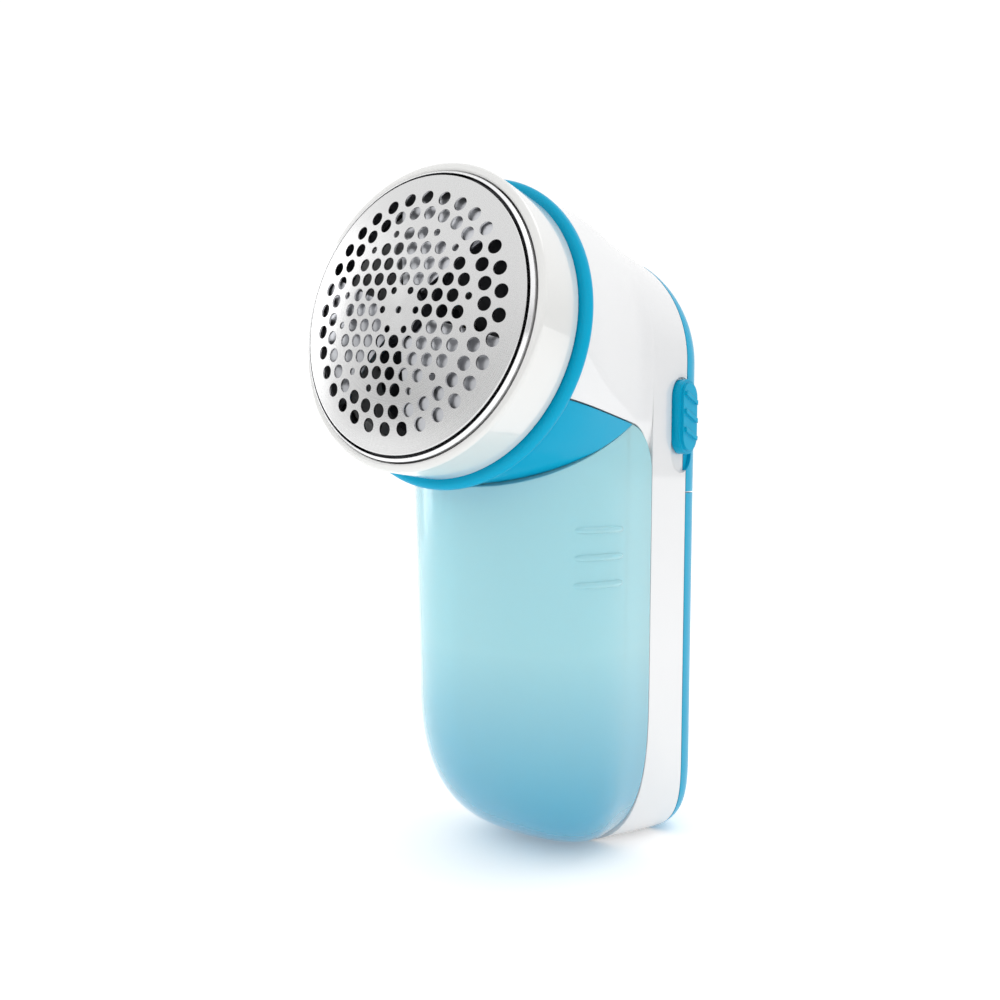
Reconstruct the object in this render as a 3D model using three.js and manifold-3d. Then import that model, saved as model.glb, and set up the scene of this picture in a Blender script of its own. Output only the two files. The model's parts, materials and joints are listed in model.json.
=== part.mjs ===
// A battery fabric shaver: a round cutting head on a hollow handle, with a lint container in front
// of the handle. Millimetres, +Z up, the head faces -Y and leans back. Everything is drawn from the
// centre of the foil's rim and then moved, so that the origin is on the flat underside.
import * as THREE from 'three';
import { mergeGeometries, mergeVertices } from 'three/addons/utils/BufferGeometryUtils.js';
import Module from 'manifold-3d';

const wasm = await Module();
wasm.setup();

// Driving dimensions.
const GAP = 0.3;
const WALL = 2;
const HEAD_TILT = THREE.MathUtils.degToRad(8.85);
const BASE = { y: 57.75, z: -112 };
const RIM_RADIUS = 27.5;
const DOME_HEIGHT = 3.3;
const FOIL_THICKNESS = 0.4;
const FOIL_EDGE = { radius: 26.9, foot: -0.9 };
const NOSE = { inner: 23.7, outer: 26, front: -6.5 };
const HEAD_BACK = -12.6;
const COLLAR = { front: -12.9, back: -15.3, radius: 31.7 };
const SHELL_FRONT = -15.6;
const SEAM_FRONT = 50.1;
const SEAM_REAR = 65.4;
const HALF_WIDTH = 24.3;
const DOOR_SPLIT = -34;
// The handle's section is an arch above and a squarer foot below, changing between the two seams.
const ARCH = { centre: -5, front: 30.1, rear: 26.4 };
const FOOT = { depth: 112.9, front: { centre: -75, power: 3.1 }, rear: { centre: -90, power: 4.4 } };
const BACK = { depth: 13, widthPower: 2.6, archPower: 2, footPower: 3 };
// Past every surface: where the cutting blocks end.
const REACH = { side: 40, front: -20, rear: 90, low: -130, high: 60 };
const ROUND_STEPS = 28;
const SHELL_STEPS = 24;
const SMALL_STEPS = 16;

// The split between the white shell and what hangs below it, seen from the side (y, z).
const EDGE = { y: 15, z: -15.7, slope: -0.138, corner: 10 };
// The container's rim is a plane that rises towards the handle.
const RIM = { y: 15.8, z: -32.6, slope: 0.508 };
const CONTAINER = {
  wall: 1.7, foot: 111.95, depth: 34, taper: 0.0667, bend: -75, backWall: 40.9, blockFace: 42.6,
  power: 2.45, frontShare: 0.732, widthPower: 3.1, depthPower: 2.15,
};
const FRONT_BLOCK = { top: -17, topHalf: 22.1, halfWidth: 21.4, depth: 33.6 };
const RIDGE = { radius: 0.7, heights: [-41, -46.5, -52], stations: [25.4, 29, 33, 38.3] };
const CHUTE = { end: 38.5, wall: 3.2, skirt: 1.4, skirtDrop: 4.5 };

// The head screws on with three lugs that run under three ribs.
const THREAD = { lead: 24, starts: 3, ribSpan: 24, lugSpan: 12 };
const SEAL = { radius: 26.45, at: -7.35, thickness: 0.72 };
// Holes of the foil: a turned hexagonal field inside two rings.
const HOLES = {
  pitch: RIM_RADIUS / 8, spin: -5.29, wide: 1.27, narrow: 0.72, ring: 1.35, rings: [22.2, 19], perRing: 32,
};
const ROTOR = { radius: 24.4, hub: 4.6, blades: 3, width: 68, turn: 71 };
const MOTOR = { radius: 12, front: -18.8, back: -40.8 };
const CELL = { radius: 7.25, length: 50.5, x: 7.7, y: 62.3, bottom: -89.5 };
const SHAFT = { radius: 1, bore: 1.3, bushing: 3 };
const SCREW_BORE = 1.3;
const SWITCH = { y: 63.1, top: -8.9, bottom: -25.5, halfWidth: 4.1, travel: 3.6 };

const edgeHeight = (y) => EDGE.z + EDGE.slope * (y - EDGE.y);
const rimHeight = (y) => RIM.z + RIM.slope * (y - RIM.y);
const dome = (r) => DOME_HEIGHT * (1 - (r / RIM_RADIUS) ** 2);
const power = (value, exponent) => Math.sign(value) * Math.abs(value) ** (2 / exponent);
const mix = (from, to, share) => from + (to - from) * share;

// Solids: every geometry is welded, loses its empty triangles and faces outwards.
function weld(geometry) {
  const bare = new THREE.BufferGeometry();
  bare.setAttribute('position', geometry.getAttribute('position').clone());
  if (geometry.index) bare.setIndex(geometry.index.clone());
  const merged = mergeVertices(bare, 1e-4);
  const old = merged.index.array;
  const kept = [];
  for (let i = 0; i < old.length; i += 3) {
    const [a, b, c] = [old[i], old[i + 1], old[i + 2]];
    if (a !== b && b !== c && c !== a) kept.push(a, b, c);
  }
  if (volume(merged.getAttribute('position'), kept) < 0) kept.reverse();
  merged.setIndex(kept);
  return merged;
}

function volume(position, index) {
  const [a, b, c] = [new THREE.Vector3(), new THREE.Vector3(), new THREE.Vector3()];
  let sum = 0;
  for (let i = 0; i < index.length; i += 3) {
    a.fromBufferAttribute(position, index[i]);
    b.fromBufferAttribute(position, index[i + 1]);
    c.fromBufferAttribute(position, index[i + 2]);
    sum += a.dot(b.cross(c)) / 6;
  }
  return sum;
}

function solid(geometry) {
  const { attributes, index } = weld(geometry);
  const triVerts = new Uint32Array(index.array);
  const vertProperties = new Float32Array(attributes.position.array);
  return new wasm.Manifold(new wasm.Mesh({ numProp: 3, vertProperties, triVerts }));
}

function geometryOf(manifold) {
  const mesh = manifold.getMesh();
  const geometry = new THREE.BufferGeometry();
  geometry.setAttribute('position', new THREE.BufferAttribute(mesh.vertProperties, 3));
  geometry.setIndex([...mesh.triVerts]);
  return geometry;
}

const join = (...geometries) => geometryOf(geometries.map(solid).reduce((a, b) => a.add(b)));
const cut = (body, ...tools) => geometryOf(tools.map(solid).reduce((a, b) => a.subtract(b), solid(body)));
const common = (...geometries) => geometryOf(geometries.map(solid).reduce((a, b) => a.intersect(b)));

// A closed skin over rings of points, each end closed by a fan.
function loft(rings) {
  const count = rings[0].length;
  const points = rings.flat();
  const index = [];
  for (let k = 0; k + 1 < rings.length; k += 1) {
    for (let i = 0; i < count; i += 1) {
      const next = (i + 1) % count;
      const [a, b] = [k * count + i, k * count + next];
      index.push(a, b, a + count, b, b + count, a + count);
    }
  }
  for (const [ring, start] of [[rings[0], 0], [rings.at(-1), (rings.length - 1) * count]]) {
    const middle = ring.reduce((sum, p) => sum.add(p), new THREE.Vector3()).divideScalar(count);
    const centre = points.push(middle) - 1;
    for (let i = 0; i < count; i += 1) {
      const pair = [start + i, start + ((i + 1) % count)];
      index.push(centre, ...(start === 0 ? pair.reverse() : pair));
    }
  }
  const geometry = new THREE.BufferGeometry().setFromPoints(points);
  geometry.setIndex(index);
  return geometry;
}

// A round piece about the local Z axis, from a closed profile of (radius, height) pairs.
function turned(profile, steps = ROUND_STEPS) {
  const closed = profile[0][0] === 0 ? profile : [...profile, profile[0]];
  const geometry = new THREE.LatheGeometry(closed.map(([r, a]) => new THREE.Vector2(r, a)), steps);
  return geometry.rotateX(Math.PI / 2);
}

const ring = (inner, outer, low, high, steps) => turned(
  [[inner, low], [outer, low], [outer, high], [inner, high]], steps);
const rod = (radius, low, high, steps) => turned(
  [[0, low], [radius, low], [radius, high], [0, high]], steps);

function block(x0, x1, y0, y1, z0, z1) {
  const geometry = new THREE.BoxGeometry(x1 - x0, y1 - y0, z1 - z0);
  return geometry.translate((x0 + x1) / 2, (y0 + y1) / 2, (z0 + z1) / 2);
}

// A block as wide as the whole shaver.
const slab = (y0, y1, z0, z1) => block(-REACH.side, REACH.side, y0, y1, z0, z1);

// A flat outline (u, v) pulled along X, with u along Y and v along Z.
function alongX(shape, x0, x1, curveSegments = 8) {
  const geometry = new THREE.ExtrudeGeometry(shape, { depth: x1 - x0, bevelEnabled: false, curveSegments });
  const [y, z, x] = [new THREE.Vector3(0, 1, 0), new THREE.Vector3(0, 0, 1), new THREE.Vector3(1, 0, 0)];
  return geometry.applyMatrix4(new THREE.Matrix4().makeBasis(y, z, x)).translate(x0, 0, 0);
}

function outline(points) {
  return new THREE.Shape(points.map(([u, v]) => new THREE.Vector2(u, v)));
}

// A round bar along Y.
const barY = (radius, x, z, y0, y1, steps = 8) => rod(radius, -y1, -y0, steps)
  .rotateX(Math.PI / 2).translate(x, 0, z);

// Along a curve, a small round section.
function wire(points, radius, steps, sides) {
  const section = new THREE.Shape().absarc(0, 0, radius, 0, 2 * Math.PI);
  const extrudePath = new THREE.CatmullRomCurve3(points.map((p) => new THREE.Vector3(...p)));
  return new THREE.ExtrudeGeometry(section, { steps, curveSegments: sides, extrudePath });
}

// The head's own frame: Z leaves the foil, Y points up the face, the origin is the rim's centre.
const headFrame = new THREE.Matrix4().makeRotationX(Math.PI / 2 - HEAD_TILT);
const inHead = (geometry) => geometry.clone().applyMatrix4(headFrame);

// The head shell: sections that change from the round collar to the handle's arch.
const HEAD_SECTIONS = [
  { at: 0, tilt: 1, width: 29.4, top: 29.4, bottom: 29.4, bottomPower: 2 },
  { at: 6.6, tilt: 0.75, width: 28.2, top: 31.1, bottom: 29.2, bottomPower: 2.5 },
  { at: 14.6, tilt: 0.4, width: 26.7, top: 32.2, bottom: 28.5, bottomPower: 3.2 },
  { at: 22.6, tilt: 0.12, width: 25.4, top: 32.7, bottom: 28, bottomPower: 4 },
  { at: 28.6, tilt: 0, width: 24.6, top: 32, bottom: 27, bottomPower: 5 },
  { at: 34.8, tilt: 0, width: HALF_WIDTH, top: 30.1, bottom: 27, bottomPower: 5 },
];

function headShell(inset) {
  const start = new THREE.Vector3(0, 0, SHELL_FRONT).applyMatrix4(headFrame);
  const last = HEAD_SECTIONS.at(-1).at;
  return loft(HEAD_SECTIONS.map((section) => {
    const y = start.y + section.at;
    const z = mix(start.z, ARCH.centre, Math.sin((Math.PI / 2) * (section.at / last)));
    const tilt = HEAD_TILT * section.tilt;
    return Array.from({ length: SHELL_STEPS }, (_, i) => {
      const angle = (2 * Math.PI * i) / SHELL_STEPS;
      const upper = Math.sin(angle) >= 0;
      const exponent = upper ? 2 : section.bottomPower;
      const height = (upper ? section.top : section.bottom) - inset;
      const v = height * power(Math.sin(angle), exponent);
      const x = (section.width - inset) * power(Math.cos(angle), exponent);
      return new THREE.Vector3(x, y + v * Math.sin(tilt), z + v * Math.cos(tilt));
    });
  }));
}

// The handle, section by section along Y: an arch above, straight sides, a rounded foot.
function handleRing(y, inset) {
  const share = Math.min(1, (y - SEAM_FRONT) / (SEAM_REAR - SEAM_FRONT));
  const past = Math.max(0, (y - SEAM_REAR) / (BACK.depth - inset));
  const fade = (exponent) => (1 - past ** exponent) ** (1 / exponent);
  const width = (HALF_WIDTH - inset) * fade(BACK.widthPower);
  const arch = (mix(ARCH.front, ARCH.rear, share) - inset) * fade(BACK.archPower);
  const footCentre = mix(FOOT.front.centre, FOOT.rear.centre, share);
  const foot = (FOOT.depth + footCentre - inset) * fade(BACK.footPower);
  const half = SHELL_STEPS / 2;
  return Array.from({ length: SHELL_STEPS + 2 }, (_, i) => {
    const upper = i <= half;
    const angle = (Math.PI * (upper ? i : i - 1)) / half;
    const exponent = upper ? 2 : mix(FOOT.front.power, FOOT.rear.power, share);
    const centre = upper ? ARCH.centre : footCentre;
    const height = upper ? arch : foot;
    return new THREE.Vector3(
      width * power(Math.cos(angle), exponent), y, centre + height * power(Math.sin(angle), exponent));
  });
}

const handle = (levels, inset) => loft(levels.map((y) => handleRing(y, inset)));
const backLevels = (inset) => [0, 0.3, 0.55, 0.75, 0.88, 0.96]
  .map((share) => SEAM_REAR + share * (BACK.depth - inset));

// The container, level by level: a blunt rounded front and a flat back on the seam.
function containerRing(z, inset) {
  const past = Math.max(0, (CONTAINER.bend - z) / (CONTAINER.foot + CONTAINER.bend - inset));
  const fade = (exponent) => (1 - past ** exponent) ** (1 / exponent);
  const width = (HALF_WIDTH - inset) * fade(CONTAINER.widthPower);
  const tapered = CONTAINER.depth + CONTAINER.taper * (Math.max(z, CONTAINER.bend) - RIM.z);
  const depth = (tapered - inset) * fade(CONTAINER.depthPower);
  const rear = SEAM_FRONT - GAP;
  const front = CONTAINER.frontShare * depth;
  const side = rear - depth + front;
  const steps = SHELL_STEPS / 2;
  const curve = Array.from({ length: steps + 1 }, (_, i) => {
    const angle = (Math.PI * i) / steps;
    const across = width * power(Math.cos(angle), CONTAINER.power);
    return new THREE.Vector3(across, side - front * power(Math.sin(angle), CONTAINER.power), z);
  });
  return [new THREE.Vector3(width, rear, z), ...curve, new THREE.Vector3(-width, rear, z)];
}

function containerBody(inset) {
  const depth = CONTAINER.foot + CONTAINER.bend - inset;
  const bends = [0, 0.3, 0.52, 0.7, 0.84, 0.94, 0.995].map((share) => CONTAINER.bend - share * depth);
  return loft([-14, -45, ...bends].map((z) => containerRing(z, inset)));
}

// The narrow block at the front of the handle, which the container's flange wraps around.
function blockOutline(inset) {
  const steps = SHELL_STEPS / 2;
  const height = FRONT_BLOCK.top + Math.max(0, inset);
  const half = FRONT_BLOCK.topHalf - inset;
  const top = [[-half, height], [half, height]];
  const foot = Array.from({ length: steps + 1 }, (_, i) => {
    const angle = (Math.PI * i) / steps;
    const depth = (FRONT_BLOCK.depth - inset) * power(Math.sin(angle), FOOT.front.power);
    const across = (FRONT_BLOCK.halfWidth - inset) * power(Math.cos(angle), FOOT.front.power);
    return [across, CONTAINER.bend - depth];
  });
  return outline([...top, ...foot]);
}

function alongY(shape, y0, y1) {
  const geometry = new THREE.ExtrudeGeometry(shape, { depth: y1 - y0, bevelEnabled: false });
  return geometry.rotateX(Math.PI / 2).translate(0, y1, 0);
}

// What the white shell gives up: everything below the split, in front of the seam.
function belowSplit(gap) {
  const seam = SEAM_FRONT - gap;
  const lean = Math.atan(EDGE.slope);
  const centre = seam - EDGE.corner;
  const middle = edgeHeight(centre) - gap - EDGE.corner / Math.cos(lean);
  const shape = new THREE.Shape();
  shape.moveTo(REACH.front, REACH.low);
  shape.lineTo(REACH.front, edgeHeight(REACH.front) - gap);
  shape.absarc(centre, middle, EDGE.corner, Math.PI / 2 + lean, 0, true);
  shape.lineTo(seam, REACH.low);
  return alongX(shape, -REACH.side, REACH.side, 5);
}

// The region on one side of a sloping plane, down or up to the given height.
function besidePlane(heightAt, end) {
  const { front, rear, side } = REACH;
  const edge = [[front, end], [front, heightAt(front)], [rear, heightAt(rear)], [rear, end]];
  return alongX(outline(end < 0 ? edge : edge.reverse()), -side, side);
}

const belowRim = (offset) => besidePlane((y) => rimHeight(y) + offset, REACH.low);
const aboveSplit = (gap) => besidePlane((y) => edgeHeight(y) - gap, REACH.high);
const belowBase = () => slab(REACH.front, REACH.rear, REACH.low, BASE.z);
const inFrontOf = (y) => slab(REACH.front, y, REACH.low, REACH.high);

// Screw bosses behind the rear seam: two grow from the handle's front wall, two hang under the arch.
const BOSSES = [[-15.5, -28.6], [15.5, -28.6], [-9, 11], [9, 11]];
const BOSS_RADIUS = 3.2;

function stadium(y, top, bottom, halfWidth) {
  const shape = new THREE.Shape();
  shape.absarc(y, top - halfWidth, halfWidth, 0, Math.PI, false);
  shape.absarc(y, bottom + halfWidth, halfWidth, Math.PI, 2 * Math.PI, false);
  return shape;
}

// A skin layer under a stadium outline on the right side: it follows the shell between two insets.
function sidePatch(top, bottom, halfWidth, outerInset, innerInset) {
  const levels = (inset) => [55, 60, ...backLevels(inset)];
  const column = alongX(stadium(SWITCH.y, top, bottom, halfWidth), 14, 32);
  const outer = common(column, handle(levels(outerInset), outerInset));
  return cut(outer, handle(levels(innerInset), innerInset));
}

const switchPocket = () => sidePatch(
  SWITCH.top + 0.5, SWITCH.bottom - SWITCH.travel - 0.5, SWITCH.halfWidth + 0.7, -1, 0.8);
const switchSlot = () => block(18, 30, 60.6, 70, -21, -11.5);

// A bar that climbs round the head axis at the thread's lead.
function helicalBar(inner, outer, low, height, startDegrees, spanDegrees) {
  const steps = 3;
  return loft(Array.from({ length: steps + 1 }, (_, k) => {
    const degrees = startDegrees + (spanDegrees * k) / steps;
    const a = low + (THREAD.lead * (degrees - startDegrees)) / 360;
    const angle = THREE.MathUtils.degToRad(degrees);
    return [[inner, a], [outer, a], [outer, a + height], [inner, a + height]]
      .map(([r, z]) => new THREE.Vector3(r * Math.cos(angle), r * Math.sin(angle), z));
  }));
}

const aroundHead = (count, make) => Array.from({ length: count }, (_, i) => make((360 * i) / count));

function mainHousing() {
  const frontWall = inHead(slab(-REACH.side, REACH.side, SHELL_FRONT - WALL, 0));
  const headRoom = cut(headShell(WALL), frontWall);
  const shell = cut(headShell(0), headRoom, belowSplit(0));
  const nose = inHead(ring(NOSE.inner - 0.5, NOSE.outer, SHELL_FRONT - WALL, NOSE.front));
  const frontBlock = alongY(blockOutline(0), CONTAINER.blockFace, SEAM_FRONT + 1);
  const grip = handle([SEAM_FRONT - 0.05, 58, SEAM_REAR - GAP / 2], 0);
  const whole = join(shell, nose, frontBlock, grip);
  const seamWall = slab(0, SEAM_FRONT + 1, REACH.low, FRONT_BLOCK.top);
  const gripRoom = cut(handle([SEAM_FRONT - 2, 58, SEAM_REAR + 1], WALL), seamWall);
  const blockRoom = alongY(blockOutline(WALL), CONTAINER.blockFace + WALL, SEAM_FRONT + 2);
  const bore = inHead(rod(NOSE.inner, SHELL_FRONT - 6, 0));
  const groove = inHead(ring(25.4, 30, NOSE.front - 1.8, 0));
  const hollow = cut(whole, gripRoom, blockRoom, bore, groove);
  const bosses = BOSSES.map(([x, z]) => barY(BOSS_RADIUS, x, z, z > 0 ? 53 : 43.6, SEAM_REAR - GAP / 2));
  const webs = [-9, 9].map((x) => block(x - 1, x + 1, 53, SEAM_REAR - GAP / 2, 12, 18));
  const holes = BOSSES.map(([x, z]) => barY(SCREW_BORE, x, z, 55, 70, 8));
  const ribs = aroundHead(THREAD.starts, (turn) => inHead(
    helicalBar(NOSE.outer - 0.4, 27.2, -11.3, 1, turn, THREAD.ribSpan)));
  const shellWithRibs = join(hollow, ...bosses, ...webs, ...ribs);
  return cut(shellWithRibs, ...holes, belowBase(), switchPocket(), switchSlot());
}

function rearShell() {
  const behindSeam = slab(SEAM_REAR + GAP / 2, REACH.rear, REACH.low, REACH.high);
  const outer = common(handle([SEAM_REAR - 2, ...backLevels(0)], 0), behindSeam);
  return cut(outer, handle([SEAM_REAR - 3, ...backLevels(WALL)], WALL));
}

function rearHousing() {
  const shell = common(rearShell(), slab(60, REACH.rear, DOOR_SPLIT + GAP / 2, REACH.high));
  const tubes = BOSSES.map(([x, z]) => barY(BOSS_RADIUS, x, z, SEAM_REAR + GAP / 2, SEAM_REAR + BACK.depth));
  const trimmed = tubes.map((tube) => common(tube, handle([SEAM_REAR - 3, ...backLevels(GAP)], GAP)));
  const shanks = BOSSES.map(([x, z]) => barY(1.5, x, z, 60, REACH.rear, 8));
  const heads = BOSSES.map(([x, z]) => barY(2.7, x, z, SEAM_REAR + 1.8, REACH.rear));
  return cut(join(shell, ...trimmed), ...shanks, ...heads, switchPocket());
}

function batteryDoor() {
  const shell = common(rearShell(), slab(60, REACH.rear, REACH.low, DOOR_SPLIT - GAP / 2));
  return cut(shell, belowBase());
}

function lintChute() {
  const between = cut(inFrontOf(CHUTE.end), belowRim(GAP), aboveSplit(GAP));
  const wedge = common(headShell(0), between);
  const passage = common(headShell(CHUTE.wall), cut(inFrontOf(CHUTE.end - WALL), aboveSplit(GAP + 1.5)));
  const nose = inHead(rod(NOSE.outer + GAP, SHELL_FRONT - WALL - GAP, 0));
  const plate = inHead(rod(NOSE.inner, MOTOR.front, 0));
  const skirtInset = CONTAINER.wall + GAP;
  const skirtOuter = common(containerBody(skirtInset), inFrontOf(CHUTE.end));
  const skirtInner = common(containerBody(skirtInset + CHUTE.skirt), inFrontOf(CHUTE.end - CHUTE.skirt));
  const skirt = cut(
    common(cut(skirtOuter, skirtInner), belowRim(1.6)), belowRim(-CHUTE.skirtDrop), aboveSplit(GAP));
  return cut(join(cut(wedge, passage), skirt), nose, plate);
}

function lintContainer() {
  const profile = common(belowSplit(GAP), belowRim(0));
  const outer = cut(common(containerBody(0), profile), belowBase());
  const bin = common(containerBody(CONTAINER.wall), inFrontOf(CONTAINER.backWall));
  const recess = alongY(blockOutline(-GAP), CONTAINER.blockFace - GAP, SEAM_FRONT + 1);
  const ridges = RIDGE.heights.flatMap((z) => [1, -1].map((side) => gripRidge(side, z)));
  const half = FRONT_BLOCK.topHalf + GAP;
  const passBlock = block(-half, half, CONTAINER.blockFace - GAP, 60, -20, 0);
  return cut(join(outer, ...ridges), bin, recess, passBlock);
}

// A ridge follows the container's side a little above the surface.
function gripRidge(side, z) {
  const corners = containerRing(z, 0);
  const reach = corners[0].x;
  const [front, rear] = [Math.min(...corners.map((p) => p.y)), corners[0].y];
  const length = (rear - front) * CONTAINER.frontShare;
  const path = RIDGE.stations.map((y) => {
    const forward = ((front + length - y) / length) ** CONTAINER.power;
    const x = reach * (1 - forward) ** (1 / CONTAINER.power);
    return [side * (x - 0.1), y, z];
  });
  return wire(path, RIDGE.radius, 5, 3);
}

// The shaving foil: a thin dome with a turned-down edge, and a hexagonal field of holes inside two
// rings of holes.
function holeCentres() {
  const { pitch, wide, narrow, perRing } = HOLES;
  const spin = THREE.MathUtils.degToRad(HOLES.spin);
  const rowHeight = pitch * 0.866;
  const rows = [[2, 3, 4], [1.5, 2.5, 3.5], [0, 1, 2, 3, 4], [0.5, 1.5, 2.5, 3.5], [0, 1, 2], [0.5]];
  const small = [[], [4.5], [], [], [3], [1.5]];
  const holes = [[0, 0, narrow]];
  const addRow = (steps, row, radius) => {
    for (const step of steps) {
      const sides = step === 0 ? [1] : [1, -1];
      for (const side of sides) {
        for (const up of row === 0 ? [1] : [1, -1]) {
          holes.push([side * step * pitch, up * row * rowHeight, radius]);
        }
      }
    }
  };
  rows.forEach((steps, row) => addRow(steps, row, wide));
  small.forEach((steps, row) => addRow(steps, row, narrow));
  for (let i = 0; i < 6; i += 1) {
    const angle = (Math.PI * i) / 3;
    holes.push([1.23 * pitch * Math.cos(angle), 1.23 * pitch * Math.sin(angle), narrow]);
  }
  const turnedHoles = holes.map(([u, v, radius]) => [
    u * Math.cos(spin) - v * Math.sin(spin), u * Math.sin(spin) + v * Math.cos(spin), radius]);
  HOLES.rings.forEach((radius, ringIndex) => {
    for (let i = 0; i < perRing; i += 1) {
      const angle = (2 * Math.PI * (i + (1 - ringIndex) / 2)) / perRing;
      turnedHoles.push([radius * Math.cos(angle), radius * Math.sin(angle), HOLES.ring]);
    }
  });
  return turnedHoles;
}

function polygon(x, y, radius, sides) {
  return Array.from({ length: sides }, (_, i) => {
    const angle = (2 * Math.PI * i) / sides;
    return new THREE.Vector2(x + radius * Math.cos(angle), y + radius * Math.sin(angle));
  });
}

function foil() {
  const { radius: outer, foot } = FOIL_EDGE;
  const inner = outer - FOIL_THICKNESS;
  const over = [0, 11, 20.5, outer].map((r) => [r, dome(r)]);
  const under = [inner, 20.5, 11, 0].map((r) => [r, dome(r) - FOIL_THICKNESS]);
  const sheet = turned([...over, [outer, foot], [inner, foot], ...under], 20);
  const punches = holeCentres().map(([x, y, radius]) => {
    const options = { depth: DOME_HEIGHT + 2, bevelEnabled: false };
    return new THREE.ExtrudeGeometry(new THREE.Shape(polygon(x, y, radius, radius > 1 ? 5 : 4)), options);
  });
  return cut(sheet, mergeGeometries(punches).translate(0, 0, -1));
}

function headRing() {
  const body = turned([
    [28.3, -1.2], [28.9, -1.1], [29.6, -1.5], [29.9, -2.2], [29.5, HEAD_BACK], [27.5, HEAD_BACK],
    [27.5, -6.2], [28.3, -6.2]]);
  const lugs = aroundHead(THREAD.starts, (turn) => helicalBar(
    26.3, 27.9, -12.55, 0.9, turn + 2, THREAD.lugSpan));
  return join(body, ...lugs);
}

function blade(turn) {
  const [steps, across] = [4, 4];
  const width = THREE.MathUtils.degToRad(ROTOR.width);
  const point = (r, share, drop) => {
    const angle = THREE.MathUtils.degToRad(ROTOR.turn + turn) + (share - 0.5) * width;
    const a = dome(r) - FOIL_THICKNESS - 0.3 - 1.2 * share - drop;
    return new THREE.Vector3(r * Math.cos(angle), r * Math.sin(angle), a);
  };
  const radii = Array.from({ length: steps + 1 }, (_, i) => mix(ROTOR.hub + 1, ROTOR.radius, i / steps));
  return loft(radii.map((r) => {
    const shares = Array.from({ length: across + 1 }, (_, i) => i / across);
    const over = shares.map((share) => point(r, share, 0));
    const under = shares.toReversed().map((share) => point(r, share, 0.5));
    return [...over, ...under];
  }));
}

function bladeCarrier() {
  const hub = rod(ROTOR.hub, -10, 1.6, SMALL_STEPS);
  const arms = aroundHead(ROTOR.blades, (turn) => block(2, 21, -3, 3, -3.4, -1.2)
    .rotateZ(THREE.MathUtils.degToRad(ROTOR.turn + turn)));
  return cut(join(hub, ...arms), rod(SHAFT.bore, -12, 3, 12));
}

function coil(radius, wireRadius, low, high, turns) {
  const perTurn = 8;
  const points = Array.from({ length: turns * perTurn + 1 }, (_, i) => {
    const angle = (2 * Math.PI * i) / perTurn;
    return [radius * Math.cos(angle), radius * Math.sin(angle), mix(low, high, i / (turns * perTurn))];
  });
  return wire(points, wireRadius, turns * perTurn, 4);
}

function motorMount() {
  const plate = new THREE.Shape(polygon(0, 0, NOSE.inner - GAP, ROUND_STEPS));
  const window = new THREE.Path();
  window.absarc(0, 0, 21.5, THREE.MathUtils.degToRad(218), THREE.MathUtils.degToRad(322), false);
  window.closePath();
  plate.holes = [window, new THREE.Path(polygon(0, 0, SHAFT.bushing + GAP, 16))];
  plate.holes.push(...[-8, 8].map((x) => new THREE.Path(polygon(x, 0, 1.4, 8))));
  const options = { depth: 2, bevelEnabled: false, curveSegments: 16 };
  return new THREE.ExtrudeGeometry(plate, options).translate(0, 0, MOTOR.front + GAP);
}

function motorCan() {
  const outer = rod(MOTOR.radius, MOTOR.back, MOTOR.front, 20);
  const room = rod(MOTOR.radius - 1, MOTOR.back - 1, MOTOR.front - 1, 20);
  const screws = [-8, 8].map((x) => rod(SCREW_BORE, -30, 0, 8).translate(x, 0, 0));
  return cut(outer, room, rod(SHAFT.bushing + GAP, -30, 0, 16), ...screws);
}

function magnet(start) {
  const shape = new THREE.Shape();
  const [low, high] = [start, start + 130].map(THREE.MathUtils.degToRad);
  shape.absarc(0, 0, MOTOR.radius - 1.3, low, high, false);
  shape.absarc(0, 0, 8.2, high, low, true);
  const options = { depth: 15, bevelEnabled: false, curveSegments: 10 };
  return new THREE.ExtrudeGeometry(shape, options).translate(0, 0, -37);
}

function armature() {
  const core = rod(7.8, -36, -23, SMALL_STEPS);
  const slots = aroundHead(3, (turn) => block(4, 9, -1, 1, -40, -20)
    .rotateZ(THREE.MathUtils.degToRad(turn + 30)));
  return cut(join(core, rod(3, -39.5, -35, 12)), ...slots, rod(SHAFT.bore, -42, -20, 12));
}

function motorEndCap() {
  const plug = rod(MOTOR.radius - 1.3, MOTOR.back, MOTOR.back - 2.2, 20);
  const terminals = [-6, 6].map((x) => block(x - 1.2, x + 1.2, -0.7, 0.7, -60, -30));
  return cut(plug, rod(SHAFT.bore, -50, -30, 12), ...terminals);
}

const motorTerminal = (x) => block(x - 0.9, x + 0.9, -0.4, 0.4, MOTOR.back - 5.5, MOTOR.back + 0.8);

function battery(side) {
  const [low, high] = [CELL.bottom, CELL.bottom + CELL.length];
  const profile = [[0, low], [CELL.radius - 0.3, low], [CELL.radius, low + 0.5], [CELL.radius, high - 1.5],
    [CELL.radius - 0.6, high - 1], [2.75, high - 1], [2.6, high], [0, high]];
  const cell = turned(profile, SMALL_STEPS);
  if (side > 0) cell.rotateX(Math.PI).translate(0, 0, low + high);
  return cell.translate(side * CELL.x, CELL.y, 0);
}

function batteryTray() {
  const [top, bottom] = [CELL.bottom + CELL.length + 4, CELL.bottom - 4];
  const body = block(-15.9, 15.9, 52.2, 66, bottom - 1.5, top + 1.5);
  const room = block(-15.3, 15.3, 53.8, 70, bottom, top);
  const wireWays = [-CELL.x, CELL.x].map((x) => block(x - 1.2, x + 1.2, 58, 60.4, top - 2, top + 4));
  return cut(body, room, ...wireWays);
}

// A flat contact lies against an end wall of the tray.
const contact = (x0, x1, z) => block(x0, x1, 58.2, 66.4, z, z + 0.5);

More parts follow.
